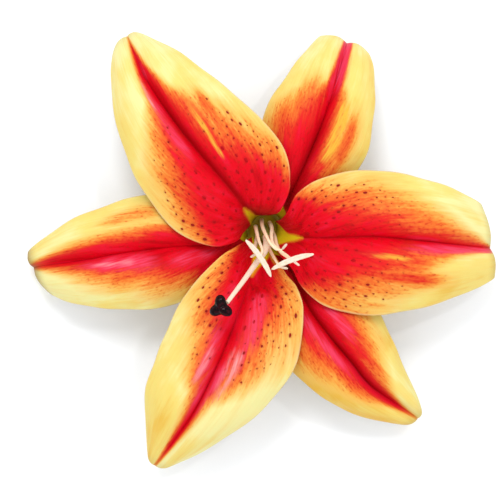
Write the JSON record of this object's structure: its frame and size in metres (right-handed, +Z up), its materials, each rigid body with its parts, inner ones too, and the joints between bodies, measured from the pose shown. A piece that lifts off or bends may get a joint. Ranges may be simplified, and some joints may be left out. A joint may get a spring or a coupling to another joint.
{
  "type": "tiger lily bloom",
  "caption": "Open lily bloom, face up, with broad inner and narrower outer tepals curled down at the tips, stamens with anthers, and a long style with a dark lobed stigma.",
  "frame": {"origin": "under the middle of the bloom, on the surface that it lies on", "axes": "+Z up, out of the bloom's face; +X to the right and +Y to the top of the bloom as seen from above, with the broad inner petal that points to +X"},
  "size_m": [0.1721, 0.1602, 0.059],
  "materials": {
    "inner_tepal": "satin petal skin, crimson core to pale yellow margin, with raised dark spots",
    "outer_tepal": "satin petal skin, crimson midrib to pale yellow margin",
    "filament": "smooth cream to pink strand",
    "anther": "matt ivory",
    "ovary": "smooth olive green",
    "style": "smooth ivory pink",
    "stigma": "wet gloss, near black",
    "pedicel": "satin green"
  },
  "bodies": {
    "root": {"inner_tepal_1": "inner_tepal", "inner_tepal_2": "inner_tepal", "inner_tepal_3": "inner_tepal", "outer_tepal_1": "outer_tepal", "outer_tepal_2": "outer_tepal", "outer_tepal_3": "outer_tepal", "filament_1": "filament", "filament_2": "filament", "filament_3": "filament", "filament_4": "filament", "filament_5": "filament", "filament_6": "filament", "anther_1": "anther", "anther_2": "anther", "anther_3": "anther", "anther_4": "anther", "anther_5": "anther", "anther_6": "anther", "ovary": "ovary", "style": "style", "stigma": "stigma", "receptacle_and_pedicel": "pedicel"}
  },
  "joints": []
}
